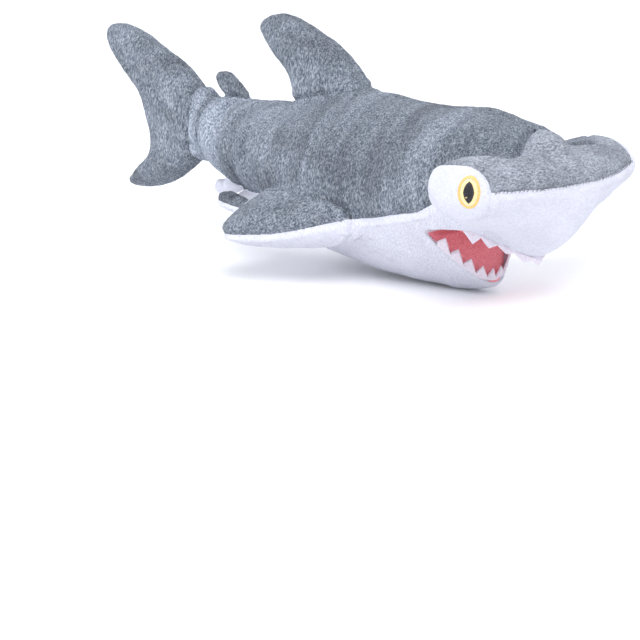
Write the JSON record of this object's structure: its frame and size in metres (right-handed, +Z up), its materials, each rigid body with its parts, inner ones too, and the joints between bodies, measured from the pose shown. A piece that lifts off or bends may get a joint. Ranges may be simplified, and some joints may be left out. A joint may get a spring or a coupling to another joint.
{
  "type": "plush hammerhead shark",
  "caption": "Soft stuffed hammerhead shark toy with stitched eyes, felt teeth and fins, tail and jaw that bend and spring back.",
  "frame": {"origin": "on the plane that the belly rests on, under the middle of the toy's length and width", "axes": "+X towards the nose, +Y to the shark's left, +Z up"},
  "size_m": [0.34, 0.16, 0.1337],
  "materials": {
    "grey_plush": "short-pile plush with a brushed nap",
    "white_plush": "short-pile plush",
    "fibre_fill": "loose polyester filling",
    "red_felt": "matt felt",
    "white_felt": "matt felt",
    "gold_thread": "satin-stitch embroidery",
    "cream_thread": "satin-stitch embroidery",
    "black_thread": "satin-stitch embroidery"
  },
  "bodies": {
    "torso": {"body_stuffing": "fibre_fill", "back_panel_left": "grey_plush", "back_panel_right": "grey_plush", "belly_panel": "white_plush", "head_stuffing": "fibre_fill", "hammer_top_panel": "grey_plush", "hammer_front_panel": "white_plush", "eye_patch_left": "white_plush", "eye_patch_right": "white_plush", "eye_padding_left": "fibre_fill", "eye_padding_right": "fibre_fill", "eye_ring_left": "gold_thread", "eye_ring_right": "gold_thread", "eye_white_left": "cream_thread", "eye_white_right": "cream_thread", "eye_pupil_left": "black_thread", "eye_pupil_right": "black_thread", "mouth_lining_upper": "red_felt", "upper_teeth": "white_felt"},
    "jaw": {"jaw_stuffing": "fibre_fill", "jaw_panel": "white_plush", "mouth_lining_lower": "red_felt", "lower_teeth": "white_felt"},
    "tail": {"tail_stuffing": "fibre_fill", "tail_panel_left": "grey_plush", "tail_panel_right": "grey_plush"},
    "dorsal_fin": {"dorsal_stuffing": "fibre_fill", "dorsal_panel_left": "grey_plush", "dorsal_panel_right": "grey_plush"},
    "second_dorsal_fin": {"second_dorsal_stuffing": "fibre_fill", "second_dorsal_panel_left": "grey_plush", "second_dorsal_panel_right": "grey_plush"},
    "anal_fin": {"anal_stuffing": "fibre_fill", "anal_panel_left": "white_plush", "anal_panel_right": "white_plush"},
    "pectoral_left": {"pectoral_left_stuffing": "fibre_fill", "pectoral_left_panel_top": "grey_plush", "pectoral_left_panel_bottom": "white_plush"},
    "pectoral_right": {"pectoral_right_stuffing": "fibre_fill", "pectoral_right_panel_top": "grey_plush", "pectoral_right_panel_bottom": "white_plush"},
    "pelvic_left": {"pelvic_left_stuffing": "fibre_fill", "pelvic_left_panel_top": "grey_plush", "pelvic_left_panel_bottom": "white_plush"},
    "pelvic_right": {"pelvic_right_stuffing": "fibre_fill", "pelvic_right_panel_top": "grey_plush", "pelvic_right_panel_bottom": "white_plush"}
  },
  "joints": [
    {"name": "tail_sway", "type": "hinge", "parent": "torso", "child": "tail", "pos_m": [-0.091, 0, 0.06527], "axis": [0, 0, 1], "range_deg": [-22, 22], "stiffness_Nm_per_rad": 0.1},
    {"name": "dorsal_fin_flop", "type": "hinge", "parent": "torso", "child": "dorsal_fin", "pos_m": [-0.0181, 0, 0.08604], "axis": [0.9719, 0, 0.2356], "range_deg": [-18, 18], "stiffness_Nm_per_rad": 0.08},
    {"name": "second_dorsal_fin_flop", "type": "hinge", "parent": "torso", "child": "second_dorsal_fin", "pos_m": [-0.07229, 0, 0.0835], "axis": [1, 0, 0], "range_deg": [-12, 12], "stiffness_Nm_per_rad": 0.03},
    {"name": "anal_fin_flop", "type": "hinge", "parent": "torso", "child": "anal_fin", "pos_m": [-0.07209, 0, 0.04035], "axis": [0.9513, 0, -0.3083], "range_deg": [-10, 10], "stiffness_Nm_per_rad": 0.03},
    {"name": "pectoral_left_flap", "type": "hinge", "parent": "torso", "child": "pectoral_left", "pos_m": [-0.011, 0.0435, 0.035], "axis": [1, 0, 0], "range_deg": [-16, 16], "stiffness_Nm_per_rad": 0.08},
    {"name": "pectoral_right_flap", "type": "hinge", "parent": "torso", "child": "pectoral_right", "pos_m": [-0.011, -0.0435, 0.035], "axis": [-1, 0, 0], "range_deg": [-16, 16], "stiffness_Nm_per_rad": 0.08},
    {"name": "pelvic_left_flap", "type": "hinge", "parent": "torso", "child": "pelvic_left", "pos_m": [-0.026, 0.013, 0.02591], "axis": [0, 1, 0], "range_deg": [-16, 3], "stiffness_Nm_per_rad": 0.03},
    {"name": "pelvic_right_flap", "type": "hinge", "parent": "torso", "child": "pelvic_right", "pos_m": [-0.026, -0.013, 0.02591], "axis": [0, 1, 0], "range_deg": [-16, 3], "stiffness_Nm_per_rad": 0.03},
    {"name": "jaw_open", "type": "hinge", "parent": "torso", "child": "jaw", "pos_m": [0.094, 0, 0.037], "axis": [0, 1, 0], "range_deg": [-8, 5], "stiffness_Nm_per_rad": 0.12}
  ]
}
